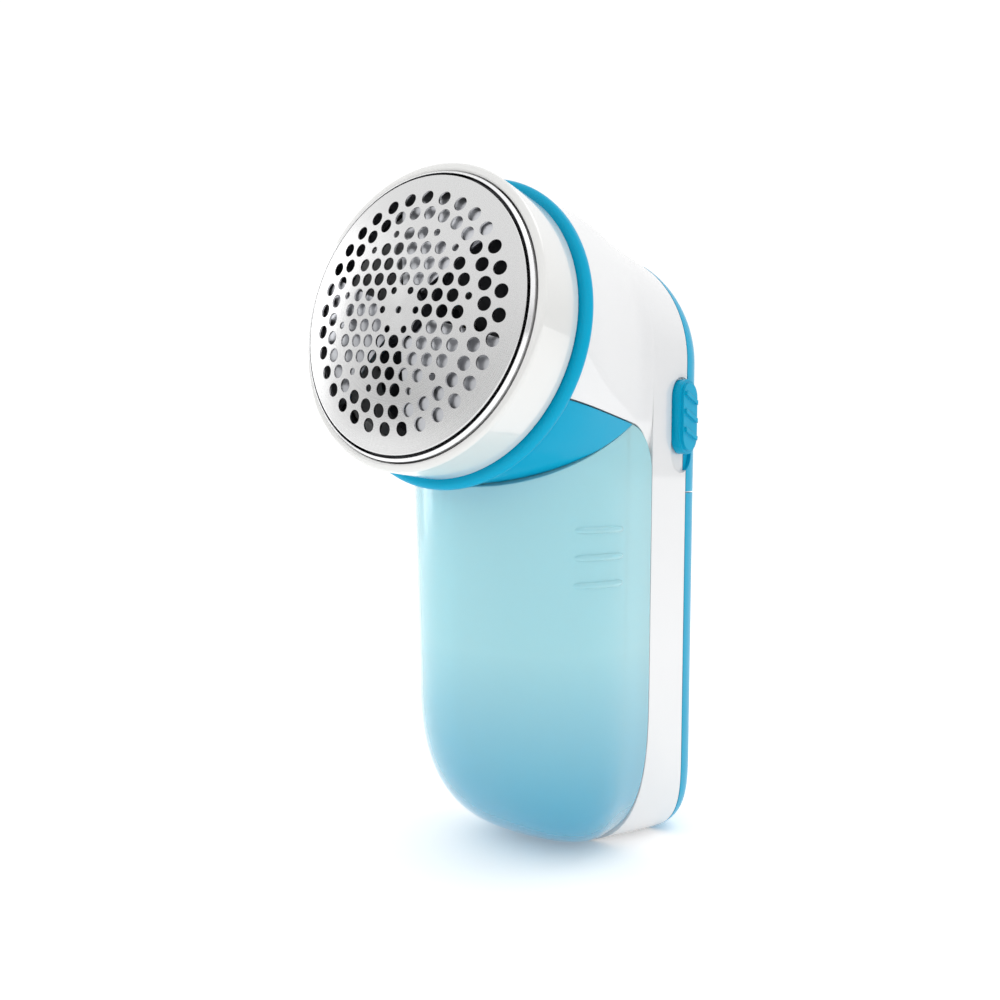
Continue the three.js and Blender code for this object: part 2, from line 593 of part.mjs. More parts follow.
function switchButton() {
  const { y, top, bottom, halfWidth } = SWITCH;
  const cap = sidePatch(top, bottom, halfWidth, -1.5, 0.5);
  const crown = sidePatch(top - 0.8, bottom + 0.8, halfWidth - 0.8, -2.1, -1.2);
  const ribLayer = sidePatch(top - 1.4, bottom + 1.4, halfWidth - 1.4, -2.6, -1.8);
  const bars = [-13, -17, -21].map((z) => block(20, 32, -8, 8, -0.45, 0.45)
    .rotateX(-0.35).translate(0, y, z));
  return join(cap, crown, common(ribLayer, join(...bars)), block(20.6, 24.6, 61.4, 64.6, -16, -12));
}

const switchSlider = () => cut(
  block(17.6, 21.6, 59.5, 65, -17.5, -10.5), block(20.2, 23, 61, 70, -16.4, -11.6));

function switchBase() {
  const body = block(13.4, 17.2, 57.6, 66.6, -24.6, -6.8);
  const track = block(15, 20, 59, 65.2, -23, -9);
  return cut(body, track);
}

const switchContact = (z) => block(15.3, 16.6, 60.5, 63.5, z, z + 2.6);

function screw(x, z) {
  const shank = barY(1.2, x, z, 56, SEAM_REAR + 2.6, 8);
  const head = barY(2.4, x, z, SEAM_REAR + 2.1, SEAM_REAR + 3.7, 12);
  const slot = block(x - 1.8, x + 1.8, SEAM_REAR + 3.2, SEAM_REAR + 5, z - 0.35, z + 0.35);
  return cut(join(shank, head), slot);
}

function motorScrew(x) {
  const profile = [[0, -20.6], [1, -20.6], [1, -16.2], [2, -16.2], [2, -15], [0, -15]];
  return cut(turned(profile, 12).translate(x, 0, 0), block(x - 1.5, x + 1.5, -0.3, 0.3, -15.5, -14));
}

// Colours and finishes.
const FINISH = {
  white: [0xf2f2f0, 0.25, 0], ivory: [0xf1efe8, 0.25, 0], blue: [0x0a9fd2, 0.3, 0],
  aqua: [0x9fd6e2, 0.35, 0], steel: [0xc9ccd0, 0.25, 1], darkSteel: [0x8d9196, 0.4, 1],
  brass: [0xc8a55a, 0.35, 1], black: [0x222428, 0.7, 0], grey: [0x7b8087, 0.6, 0],
  copper: [0xb06a3c, 0.4, 1], cell: [0x2f5d50, 0.4, 0], red: [0xb3261e, 0.6, 0], amber: [0xc98b2b, 0.5, 0],
};

const shaver = new THREE.Group();
shaver.position.set(0, -BASE.y, -BASE.z);
const head = new THREE.Group();
head.rotation.x = Math.PI / 2 - HEAD_TILT;
shaver.add(head);

function piece(group, name, finish, geometry) {
  const [color, roughness, metalness] = FINISH[finish];
  const material = new THREE.MeshStandardMaterial({ color, roughness, metalness });
  const mesh = new THREE.Mesh(weld(geometry), material);
  mesh.name = name;
  group.add(mesh);
}

piece(shaver, 'main_housing', 'white', mainHousing());
piece(shaver, 'rear_housing', 'blue', rearHousing());
piece(shaver, 'battery_door', 'blue', batteryDoor());
piece(shaver, 'lint_chute', 'blue', lintChute());
piece(shaver, 'lint_container', 'aqua', lintContainer());
BOSSES.forEach(([x, z], i) => piece(shaver, `housing_screw_${i + 1}`, 'darkSteel', screw(x, z)));

piece(head, 'collar_ring', 'blue', turned([
  [NOSE.outer + GAP, COLLAR.front], [29.5, COLLAR.front], [30.9, -13.3], [COLLAR.radius, -14.1],
  [31.5, -14.8], [30.4, COLLAR.back], [NOSE.outer + GAP, COLLAR.back]]));
piece(head, 'head_ring', 'ivory', headRing());
piece(head, 'foil', 'steel', foil());
piece(head, 'foil_rim', 'steel', turned([
  [27.4, -0.2], [27.6, -0.2], [28, -0.8], [28, -4.5], [27.6, -4.5], [27.6, -1], [27.4, -0.8]]));
piece(head, 'foil_clamp_ring', 'grey', turned([
  [25.8, -1.2], [27.3, -1.2], [27.3, -4.8], [28, -4.8], [28, -5.9], [25.8, -5.9]]));
piece(head, 'head_seal', 'black', turned(
  polygon(SEAL.radius, SEAL.at, SEAL.thickness, 6).map(({ x, y }) => [x, y]), 24));
piece(head, 'blade_carrier', 'grey', bladeCarrier());
aroundHead(ROTOR.blades, (turn) => piece(head, `blade_${1 + turn / 120}`, 'steel', blade(turn)));
piece(head, 'hub_cap', 'darkSteel', rod(2.8, 1.9, 2.5, SMALL_STEPS));
piece(head, 'blade_spring', 'darkSteel', coil(3.2, 0.35, -14.6, -10.8, 3));
piece(head, 'motor_mount', 'grey', motorMount());
[-8, 8].forEach((x, i) => piece(head, `motor_screw_${i + 1}`, 'darkSteel', motorScrew(x)));
piece(head, 'motor_can', 'steel', motorCan());
piece(head, 'motor_shaft', 'steel', rod(SHAFT.radius, -42.6, 1.3, 12));
piece(head, 'front_bushing', 'brass', ring(SHAFT.bore, SHAFT.bushing, -20.5, -16, SMALL_STEPS));
piece(head, 'motor_armature', 'copper', armature());
[25, 205].forEach((start, i) => piece(head, `motor_magnet_${i + 1}`, 'black', magnet(start)));
piece(head, 'motor_end_cap', 'black', motorEndCap());
[-6, 6].forEach((x, i) => piece(head, `motor_terminal_${i + 1}`, 'brass', motorTerminal(x)));
piece(head, 'noise_capacitor', 'amber', rod(2.6, -47.6, -45.8, SMALL_STEPS).translate(0, 3.4, 0));

piece(shaver, 'battery_1', 'cell', battery(-1));
piece(shaver, 'battery_2', 'cell', battery(1));
piece(shaver, 'battery_tray', 'grey', batteryTray());
piece(shaver, 'contact_positive', 'brass', contact(-12, -3.4, -36));
piece(shaver, 'contact_negative', 'brass', contact(3.4, 12, -35.8));
piece(shaver, 'contact_bridge', 'brass', contact(-12, 12, -93.2));
piece(shaver, 'battery_spring_top', 'steel', coil(3, 0.4, -38.5, -36.6, 2).translate(CELL.x, CELL.y, 0));
piece(shaver, 'battery_spring_bottom', 'steel', coil(3, 0.4, -92, -90.3, 2).translate(-CELL.x, CELL.y, 0));

piece(shaver, 'switch_button', 'blue', switchButton());
piece(shaver, 'switch_slider', 'black', switchSlider());
piece(shaver, 'switch_base', 'black', switchBase());
[-13, -20].forEach((z, i) => piece(shaver, `switch_contact_${i + 1}`, 'brass', switchContact(z)));

// The wires run from the cells and the switch to the motor inside the handle.
const WIRES = {
  wire_battery_motor: ['red', [
    [-6, 46.5, -7.3], [-7, 49, -11], [-8, 52, -22], [-7.9, 57, -29], [-7.7, 59.2, -35.1]]],
  wire_motor_switch: ['black', [[6, 46.5, -7.3], [7.5, 49.5, -7], [10, 55, -8.5], [12.7, 60.5, -11]]],
  wire_battery_switch: ['black', [
    [7.7, 59.2, -35.1], [8.6, 57.6, -29], [9.5, 57.5, -23], [12.7, 60.5, -18]]],
};
const WIRE_RADIUS = 0.55;
for (const [name, [finish, points]] of Object.entries(WIRES)) {
  piece(shaver, name, finish, wire(points, WIRE_RADIUS, 8, 3));
}

export default shaver;
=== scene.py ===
"""The looks of a battery fabric shaver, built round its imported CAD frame.

Pieces are drawn in millimetres from the centre of the foil's rim, +Z up, and are placed in the frame,
in metres, when they are finished. The head axis comes from the rotor's joint.
"""
import json
import math

import bmesh
import bpy
import numpy as np
from mathutils import Matrix, Vector


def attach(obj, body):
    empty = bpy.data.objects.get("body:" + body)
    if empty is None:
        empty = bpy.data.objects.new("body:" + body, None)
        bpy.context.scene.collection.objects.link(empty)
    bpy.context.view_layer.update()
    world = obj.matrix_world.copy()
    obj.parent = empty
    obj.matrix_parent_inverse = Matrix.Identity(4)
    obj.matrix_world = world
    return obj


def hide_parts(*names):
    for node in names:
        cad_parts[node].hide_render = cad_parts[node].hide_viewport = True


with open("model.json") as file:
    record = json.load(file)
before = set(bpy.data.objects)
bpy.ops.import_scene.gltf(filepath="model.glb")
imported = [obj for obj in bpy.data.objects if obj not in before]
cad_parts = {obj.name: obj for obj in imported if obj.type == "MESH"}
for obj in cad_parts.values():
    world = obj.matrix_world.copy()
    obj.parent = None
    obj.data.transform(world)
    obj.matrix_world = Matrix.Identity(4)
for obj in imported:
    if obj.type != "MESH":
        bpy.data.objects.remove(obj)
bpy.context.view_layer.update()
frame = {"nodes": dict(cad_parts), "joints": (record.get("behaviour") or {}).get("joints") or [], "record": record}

MM = 0.001
RECORD = frame["record"]
BODY_OF = {node: body for body, nodes in RECORD["behaviour"]["bodies"].items() for node in nodes}
SLOT_OF = {row["node"]: row["material_slot"] for row in RECORD["subparts"]}
SPIN = next(joint for joint in frame["joints"] if joint["name"] == "rotor_spin")
RIM_CENTRE = Vector(SPIN["pos_m"]) / MM
HEAD_TILT = math.asin(SPIN["axis"][2])
HEAD = Matrix.Rotation(math.pi / 2 - HEAD_TILT, 4, "X")
BASE_Z = -RIM_CENTRE.z

# Driving dimensions. They are the design's, but the chute's tip and skirt reach further back and the
# switch's stem and slot stop lower, so that no gap shows.
GAP = 0.3
WALL = 2
RIM_RADIUS = 27.5
DOME_HEIGHT = 3.3
FOIL_THICKNESS = 0.4
FOIL_EDGE, FOIL_FOOT = 26.9, -0.9
NOSE_INNER, NOSE_OUTER, NOSE_FRONT = 23.7, 26, -6.5
HEAD_BACK = -12.6
SHELL_FRONT = -15.6
SEAM_FRONT, SEAM_REAR = 50.1, 65.4
HALF_WIDTH = 24.3
DOOR_SPLIT = -34
ARCH_CENTRE, ARCH_FRONT, ARCH_REAR = -5, 30.1, 26.4
FOOT_DEPTH = 112.9
FOOT_FRONT, FOOT_REAR = (-75, 3.1), (-90, 4.4)
BACK_DEPTH = 13
BACK_WIDTH_POWER, BACK_ARCH_POWER, BACK_FOOT_POWER = 2.6, 2, 3
EDGE_Y, EDGE_Z, EDGE_SLOPE, EDGE_CORNER = 15, -15.7, -0.138, 10
RIM_Y, RIM_Z, RIM_SLOPE = 15.8, -32.6, 0.508
BIN_WALL, BIN_FOOT, BIN_DEPTH, BIN_TAPER, BIN_BEND = 1.7, 111.95, 34, 0.0667, -75
BIN_BACK, BLOCK_FACE = 40.9, 42.6
BIN_POWER, BIN_FRONT_SHARE, BIN_WIDTH_POWER, BIN_DEPTH_POWER = 2.45, 0.732, 3.1, 2.15
RIDGE_HEIGHTS, RIDGE_FRONT, RIDGE_REAR = (-41, -46.5, -52), 25.4, 38.3
RIDGE_SIZE, RIDGE_SUNK = 0.7, 0.1
BLOCK_TOP, BLOCK_TOP_HALF, BLOCK_HALF, BLOCK_DEPTH = -17, 22.1, 21.4, 33.6
CHUTE_END, CHUTE_TIP, CHUTE_WALL = 38.5, 40.6, 3.2
SKIRT, SKIRT_DROP, SKIRT_END = 1.4, 4.5, 40.4
LEAD, STARTS = 24, 3
ROTOR_RADIUS, ROTOR_HUB, BLADE_WIDTH, BLADE_TURN = 24.4, 4.6, 68, 71
HOLE_WIDE, HOLE_NARROW, HOLE_IN_RING = 1.27, 0.72, 1.35
HOLE_RINGS, HOLES_PER_RING, FIELD_TURN = (22.2, 19), 32, -5.29
FOIL_BEND = 0.3
SWITCH_Y, SWITCH_TOP, SWITCH_BOTTOM, SWITCH_HALF, SWITCH_TRAVEL = 63.1, -8.9, -25.5, 4.1, 3.6
STEM_TOP, STEM_BOTTOM, STEM_FRONT, STEM_REAR = -13.7, -16, 61.4, 64.6
STEM_INNER, STEM_OUTER = 20.6, 24.6
SLOT_BOTTOM, SLOT_FRONT = -21, 60.6
POCKET_MARGIN, POCKET_SIDE, POCKET_DEPTH = 0.5, 0.7, 0.8
RIB_HEIGHTS, RIB_TURN = (-13, -17, -21), -0.35
LAYER_FROM, LAYER_TO = 14, 32
BOSSES = [(-15.5, -28.6), (15.5, -28.6), (-9, 11), (9, 11)]
BOSS_RADIUS, BOSS_TOP_START, BOSS_LOW_START = 3.2, 53, 43.6
THREAD_RADIUS, SHANK_RADIUS, SCREW_HEAD_RADIUS, SCREW_HEAD_SEAT = 1.3, 1.5, 2.7, 1.8
BACK_FROM = 60

# How finely the skins are drawn.
RING_STEPS = 112
SIDE_STEPS = 24
TURN_STEPS = 128

# Extents well outside the object, for cutting solids.
REACH = 130
FAR_FRONT, FAR_BACK, FAR_BELOW, FAR_ABOVE = -20, 90, -130, 60


# Shapes in the round.
def solid(points, faces):
    mesh = bpy.data.meshes.new("solid")
    mesh.from_pydata([tuple(p) for p in points], [], faces)
    work = bmesh.new()
    work.from_mesh(mesh)
    bmesh.ops.remove_doubles(work, verts=work.verts, dist=1e-5)
    bmesh.ops.dissolve_degenerate(work, edges=work.edges, dist=1e-6)
    bmesh.ops.recalc_face_normals(work, faces=work.faces)
    work.to_mesh(mesh)
    work.free()
    made = bpy.data.objects.new("solid", mesh)
    bpy.context.scene.collection.objects.link(made)
    return made


def loft(rings):
    """A closed skin over rings of points, with a flat face on each end."""
    count = len(rings[0])
    faces = [tuple(reversed(range(count)))]
    for level in range(len(rings) - 1):
        for i in range(count):
            a, b = level * count + i, level * count + (i + 1) % count
            faces.append((a, b, b + count, a + count))
    last = (len(rings) - 1) * count
    faces.append(tuple(range(last, last + count)))
    return solid([p for ring in rings for p in ring], faces)


def turned(profile, steps=TURN_STEPS):
    """A round piece about Z from a closed profile of (radius, height) pairs."""
    points, faces = [], []
    for i in range(steps):
        angle = 2 * math.pi * i / steps
        points += [(r * math.cos(angle), r * math.sin(angle), a) for r, a in profile]
    count = len(profile)
    for i in range(steps):
        for k in range(count):
            near, far = i * count, ((i + 1) % steps) * count
            following = (k + 1) % count
            if profile[k][0] == 0 and profile[following][0] == 0:
                continue
            faces.append((near + k, far + k, far + following, near + following))
    return solid(points, faces)


def ring(inner, outer, low, high):
    return turned([(inner, low), (outer, low), (outer, high), (inner, high)])


def rod(radius, low, high, steps=TURN_STEPS):
    return turned([(0, low), (radius, low), (radius, high), (0, high)], steps)


def block(x0, x1, y0, y1, z0, z1):
    return loft([[(x0, y0, z), (x1, y0, z), (x1, y1, z), (x0, y1, z)] for z in (z0, z1)])


def slab(y0, y1, z0, z1):
    return block(-REACH, REACH, y0, y1, z0, z1)


def along_x(outline, x0, x1):
    return loft([[(x, y, z) for y, z in outline] for x in (x0, x1)])


def along_y(outline, y0, y1):
    return loft([[(x, y, z) for x, z in outline] for y in (y0, y1)])


def bar_y(radius, x, z, y0, y1, steps=32):
    angles = [2 * math.pi * i / steps for i in range(steps)]
    return along_y([(x + radius * math.cos(a), z + radius * math.sin(a)) for a in angles], y0, y1)


def moved(made, matrix):
    made.data.transform(matrix)
    return made


def in_head(made):
    return moved(made, HEAD)


def combine(operation, body, tools):
    for tool in tools:
        modifier = body.modifiers.new(operation, "BOOLEAN")
        modifier.operation = operation
        modifier.solver = "MANIFOLD"
        modifier.object = tool
        bpy.context.view_layer.update()
        made = bpy.data.meshes.new_from_object(body.evaluated_get(bpy.context.evaluated_depsgraph_get()))
        body.modifiers.clear()
        body.data = made
        bpy.data.objects.remove(tool)
    return body


def cut(body, *tools):
    return combine("DIFFERENCE", body, tools)


def join(body, *tools):
    return combine("UNION", body, tools)


def common(body, *tools):
    return combine("INTERSECT", body, tools)


# The outer form: an arch over a squarer foot, a head that grows out of it, and the container.
def power(value, exponent):
    return math.copysign(abs(value) ** (2 / exponent), value)


def mix(start, end, share):
    return start + (end - start) * share


def crowded(share):
    """Packs steps from 0 to 1 closer at both ends, where the points of a squarish curve are far apart."""
    return share - 0.9 * math.sin(2 * math.pi * share) / (2 * math.pi)


def fade(past, exponent):
    return max(0.0, 1 - past ** exponent) ** (1 / exponent)


def edge_height(y):
    return EDGE_Z + EDGE_SLOPE * (y - EDGE_Y)


def rim_height(y):
    return RIM_Z + RIM_SLOPE * (y - RIM_Y)


def dome(radius):
    return DOME_HEIGHT * (1 - (radius / RIM_RADIUS) ** 2)


# Where along the head, its share of the tilt, its half width, rise, drop, and how square it is below.
HEAD_SECTIONS = np.array([
    (0, 1, 29.4, 29.4, 29.4, 2),
    (6.6, 0.75, 28.2, 31.1, 29.2, 2.5),
    (14.6, 0.4, 26.7, 32.2, 28.5, 3.2),
    (22.6, 0.12, 25.4, 32.7, 28, 4),
    (28.6, 0, 24.6, 32, 27, 5),
    (34.8, 0, HALF_WIDTH, 30.1, 27, 5),
])


def head_section(at):
    """The section at a place between the given ones, on a smooth curve through them."""
    places = HEAD_SECTIONS[:, 0]
    slopes = np.gradient(HEAD_SECTIONS, places, axis=0)
    k = min(len(places) - 2, int(np.searchsorted(places, at, side="right")) - 1)
    span = places[k + 1] - places[k]
    t = (at - places[k]) / span
    value = (2 * t**3 - 3 * t**2 + 1) * HEAD_SECTIONS[k] + (t**3 - 2 * t**2 + t) * span * slopes[k]
    return value + (3 * t**2 - 2 * t**3) * HEAD_SECTIONS[k + 1] + (t**3 - t**2) * span * slopes[k + 1]


def head_shell(inset):
    start = HEAD @ Vector((0, 0, SHELL_FRONT))
    last = HEAD_SECTIONS[-1, 0]
    rings = []
    for at in np.linspace(0, last, 42):
        _, tilt_share, width, top, bottom, square = head_section(at)
        y = start.y + at
        z = mix(start.z, ARCH_CENTRE, math.sin(math.pi / 2 * at / last))
        tilt = HEAD_TILT * tilt_share
        points = []
        for i in range(RING_STEPS):
            angle = 2 * math.pi * i / RING_STEPS
            upper = i <= RING_STEPS // 2
            exponent = 2 if upper else square
            v = ((top if upper else bottom) - inset) * power(math.sin(angle), exponent)
            x = (width - inset) * power(math.cos(angle), exponent)
            points.append((x, y + v * math.sin(tilt), z + v * math.cos(tilt)))
        rings.append(points)
    return loft(rings)


def handle_ring(y, inset):
    share = min(1, (y - SEAM_FRONT) / (SEAM_REAR - SEAM_FRONT))
    past = min(1, max(0, (y - SEAM_REAR) / (BACK_DEPTH - inset)))
    width = (HALF_WIDTH - inset) * fade(past, BACK_WIDTH_POWER)
    arch = (mix(ARCH_FRONT, ARCH_REAR, share) - inset) * fade(past, BACK_ARCH_POWER)
    foot_centre = mix(FOOT_FRONT[0], FOOT_REAR[0], share)
    foot = (FOOT_DEPTH + foot_centre - inset) * fade(past, BACK_FOOT_POWER)
    half = RING_STEPS // 2
    foot_power = mix(FOOT_FRONT[1], FOOT_REAR[1], share)
    halves = ((0, 2, ARCH_CENTRE, arch), (math.pi, foot_power, foot_centre, foot))
    points = []
    for first, exponent, centre, height in halves:
        for i in range(half + 1):
            angle = first + math.pi * (i / half if first == 0 else crowded(i / half))
            x = width * power(math.cos(angle), exponent)
            points.append((x, y, centre + height * power(math.sin(angle), exponent)))
        side = -width if first == 0 else width
        end = foot_centre if first == 0 else ARCH_CENTRE
        points += [(side, y, mix(centre, end, k / SIDE_STEPS)) for k in range(1, SIDE_STEPS)]
    return points


def handle(levels, inset):
    return loft([handle_ring(y, inset) for y in levels])


def back_levels(inset, count=30):
    turn = [math.pi / 2 * i / count for i in range(count)]
    return [SEAM_REAR + math.sin(t) * (BACK_DEPTH - inset) for t in turn]


def container_ring(z, inset):
    past = max(0, (BIN_BEND - z) / (BIN_FOOT + BIN_BEND - inset))
    width = (HALF_WIDTH - inset) * fade(past, BIN_WIDTH_POWER)
    tapered = BIN_DEPTH + BIN_TAPER * (max(z, BIN_BEND) - RIM_Z)
    depth = (tapered - inset) * fade(past, BIN_DEPTH_POWER)
    rear = SEAM_FRONT - GAP
    front = BIN_FRONT_SHARE * depth
    side = rear - depth + front
    half = RING_STEPS // 2
    curve = [
        (width * power(math.cos(math.pi * i / half), BIN_POWER),
         side - front * power(math.sin(math.pi * i / half), BIN_POWER), z)
        for i in range(half + 1)]
    return [(width, rear, z), *curve, (-width, rear, z)]


def container_body(inset, count=30):
    depth = BIN_FOOT + BIN_BEND - inset
    bends = [BIN_BEND - math.sin(math.pi / 2 * i / count) * depth for i in range(count)]
    return loft([container_ring(z, inset) for z in (-14, -30, -45, -60, *bends)])


def block_outline(inset):
    height = BLOCK_TOP + max(0, inset)
    half = BLOCK_TOP_HALF - inset
    steps = RING_STEPS // 2
    foot = []
    for i in range(steps + 1):
        angle = math.pi * i / steps
        across = (BLOCK_HALF - inset) * power(math.cos(angle), FOOT_FRONT[1])
        foot.append((across, BIN_BEND - (BLOCK_DEPTH - inset) * power(math.sin(angle), FOOT_FRONT[1])))
    return [(-half, height), (half, height), *foot]


def below_split(gap):
    seam = SEAM_FRONT - gap
    lean = math.atan(EDGE_SLOPE)
    centre = seam - EDGE_CORNER
    middle = edge_height(centre) - gap - EDGE_CORNER / math.cos(lean)
    start, steps = math.pi / 2 + lean, 20
    arc = [start * (1 - i / steps) for i in range(steps + 1)]
    corner = [(centre + EDGE_CORNER * math.cos(a), middle + EDGE_CORNER * math.sin(a)) for a in arc]
    start_edge = (FAR_FRONT, edge_height(FAR_FRONT) - gap)
    outline = [(FAR_FRONT, FAR_BELOW), start_edge, *corner, (seam, FAR_BELOW)]
    return along_x(outline, -REACH, REACH)


def beside_plane(height_at, end):
    near = [(FAR_FRONT, end), (FAR_FRONT, height_at(FAR_FRONT))]
    far = [(FAR_BACK, height_at(FAR_BACK)), (FAR_BACK, end)]
    return along_x([*near, *far], -REACH, REACH)


def below_rim(offset):
    return beside_plane(lambda y: rim_height(y) + offset, FAR_BELOW)


def above_split(gap):
    return beside_plane(lambda y: edge_height(y) - gap, FAR_ABOVE)


def below_base():
    return slab(FAR_FRONT, FAR_BACK, FAR_BELOW, BASE_Z)


def in_front_of(y):
    return slab(FAR_FRONT, y, FAR_BELOW, FAR_ABOVE)


def stadium(top, bottom, half, steps=24):
    upper = [math.pi * i / steps for i in range(steps + 1)]
    points = [(SWITCH_Y + half * math.cos(a), top - half + half * math.sin(a)) for a in upper]
    return points + [(SWITCH_Y - half * math.cos(a), bottom + half - half * math.sin(a)) for a in upper]


def side_patch(top, bottom, half, outer_inset, inner_inset):
    """A layer of the shell under a rounded slot outline on the right side."""
    column = along_x(stadium(top, bottom, half), LAYER_FROM, LAYER_TO)
    outer = common(column, handle([55, 60, *back_levels(outer_inset)], outer_inset))
    return cut(outer, handle([54, 60, *back_levels(inner_inset)], inner_inset))


def switch_pocket():
    top, bottom = SWITCH_TOP + POCKET_MARGIN, SWITCH_BOTTOM - SWITCH_TRAVEL - POCKET_MARGIN
    return side_patch(top, bottom, SWITCH_HALF + POCKET_SIDE, -1, POCKET_DEPTH)


def helical_bar(inner, outer, low, height, start, span, steps=12):
    rings = []
    for k in range(steps + 1):
        degrees = start + span * k / steps
        a = low + LEAD * (degrees - start) / 360
        angle = math.radians(degrees)
        corners = ((inner, a), (outer, a), (outer, a + height), (inner, a + height))
        rings.append([(r * math.cos(angle), r * math.sin(angle), z) for r, z in corners])
    return loft(rings)


# The pieces.
def main_housing():
    front_wall = in_head(slab(-REACH, REACH, SHELL_FRONT - WALL, 0))
    head_room = cut(head_shell(WALL), front_wall)
    shell = cut(head_shell(0), head_room, below_split(0))
    nose = in_head(ring(NOSE_INNER - 0.5, NOSE_OUTER, SHELL_FRONT - WALL, NOSE_FRONT))
    front_block = along_y(block_outline(0), BLOCK_FACE, SEAM_FRONT + 1)
    grip = handle([*np.linspace(SEAM_FRONT - 0.05, SEAM_REAR - GAP / 2, 14)], 0)
    whole = join(shell, nose, front_block, grip)
    seam_wall = slab(0, SEAM_FRONT + 1, FAR_BELOW, BLOCK_TOP)
    grip_room = cut(handle([SEAM_FRONT - 2, 54, 58, 62, SEAM_REAR + 1], WALL), seam_wall)
    block_room = along_y(block_outline(WALL), BLOCK_FACE + WALL, SEAM_FRONT + 2)
    bore = in_head(rod(NOSE_INNER, SHELL_FRONT - 6, 0))
    groove = in_head(ring(25.4, 30, NOSE_FRONT - 1.8, 0))
    hollow = cut(whole, grip_room, block_room, bore, groove)
    bosses = [
        bar_y(BOSS_RADIUS, x, z, BOSS_TOP_START if z > 0 else BOSS_LOW_START, SEAM_REAR - GAP / 2)
        for x, z in BOSSES]
    ribs = [
        in_head(helical_bar(NOSE_OUTER - 0.4, 27.2, -11.3, 1, 360 * i / STARTS, 24)) for i in range(STARTS)]
    holes = [bar_y(THREAD_RADIUS, x, z, 55, 70) for x, z in BOSSES]
    slot = block(18, 30, SLOT_FRONT, 70, SLOT_BOTTOM, STEM_TOP + GAP)
    return cut(join(hollow, *bosses, *ribs), *holes, below_base(), switch_pocket(), slot)


def rear_shell():
    behind = slab(SEAM_REAR + GAP / 2, FAR_BACK, FAR_BELOW, FAR_ABOVE)
    outer = common(handle([SEAM_REAR - 2, *back_levels(0)], 0), behind)
    return cut(outer, handle([SEAM_REAR - 3, *back_levels(WALL)], WALL))


def rear_housing():
    shell = common(rear_shell(), slab(BACK_FROM, FAR_BACK, DOOR_SPLIT + GAP / 2, FAR_ABOVE))
    tubes = [
        common(bar_y(BOSS_RADIUS, x, z, SEAM_REAR + GAP / 2, SEAM_REAR + BACK_DEPTH),
               handle([SEAM_REAR - 3, *back_levels(GAP)], GAP)) for x, z in BOSSES]
    bores = [bar_y(SHANK_RADIUS, x, z, BACK_FROM, FAR_BACK) for x, z in BOSSES]
    heads = [bar_y(SCREW_HEAD_RADIUS, x, z, SEAM_REAR + SCREW_HEAD_SEAT, FAR_BACK) for x, z in BOSSES]
    return cut(join(shell, *tubes), *bores, *heads, switch_pocket())


def battery_door():
    lower = slab(BACK_FROM, FAR_BACK, FAR_BELOW, DOOR_SPLIT - GAP / 2)
    return cut(common(rear_shell(), lower), below_base())


def lint_chute():
    between = cut(in_front_of(CHUTE_TIP), below_rim(GAP), above_split(GAP))
    wedge = common(head_shell(0), between)
    passage = common(head_shell(CHUTE_WALL), cut(in_front_of(CHUTE_END - WALL), above_split(GAP + 1.5)))
    inset = BIN_WALL + GAP
    outer = common(container_body(inset), in_front_of(SKIRT_END))
    inner = common(container_body(inset + SKIRT), in_front_of(SKIRT_END - SKIRT))
    skirt = cut(common(cut(outer, inner), below_rim(1.6)), below_rim(-SKIRT_DROP), above_split(GAP))
    nose = in_head(rod(NOSE_OUTER + GAP, SHELL_FRONT - WALL - GAP, 0))
    plate = in_head(rod(NOSE_INNER, -18.8, 0))
    return cut(join(cut(wedge, passage), skirt), nose, plate)


def grip_ridge(side, z):
    corners = container_ring(z, 0)
    reach = corners[0][0]
    front, rear = min(p[1] for p in corners), corners[0][1]
    length = (rear - front) * BIN_FRONT_SHARE
    rings = []
    steps, around = 24, 12
    for k in range(steps + 1):
        y = mix(RIDGE_FRONT, RIDGE_REAR, k / steps)
        forward = ((front + length - y) / length) ** BIN_POWER
        x = reach * (1 - forward) ** (1 / BIN_POWER)
        size = RIDGE_SIZE * math.sqrt(max(0.02, 1 - (2 * k / steps - 1) ** 8))
        turn = [2 * math.pi * i / around for i in range(around)]
        centre = x - RIDGE_SUNK
        rings.append([(side * (centre + size * math.cos(a)), y, z + size * math.sin(a)) for a in turn])
    return loft(rings)


def lint_container():
    profile = common(below_split(GAP), below_rim(0))
    outer = cut(common(container_body(0), profile), below_base())
    room = common(container_body(BIN_WALL), in_front_of(BIN_BACK))
    recess = along_y(block_outline(-GAP), BLOCK_FACE - GAP, SEAM_FRONT + 1)
    half = BLOCK_TOP_HALF + GAP
    pass_block = block(-half, half, BLOCK_FACE - GAP, 60, -20, 0)
    ridges = [grip_ridge(side, z) for z in RIDGE_HEIGHTS for side in (1, -1)]
    return cut(join(outer, *ridges), room, recess, pass_block)


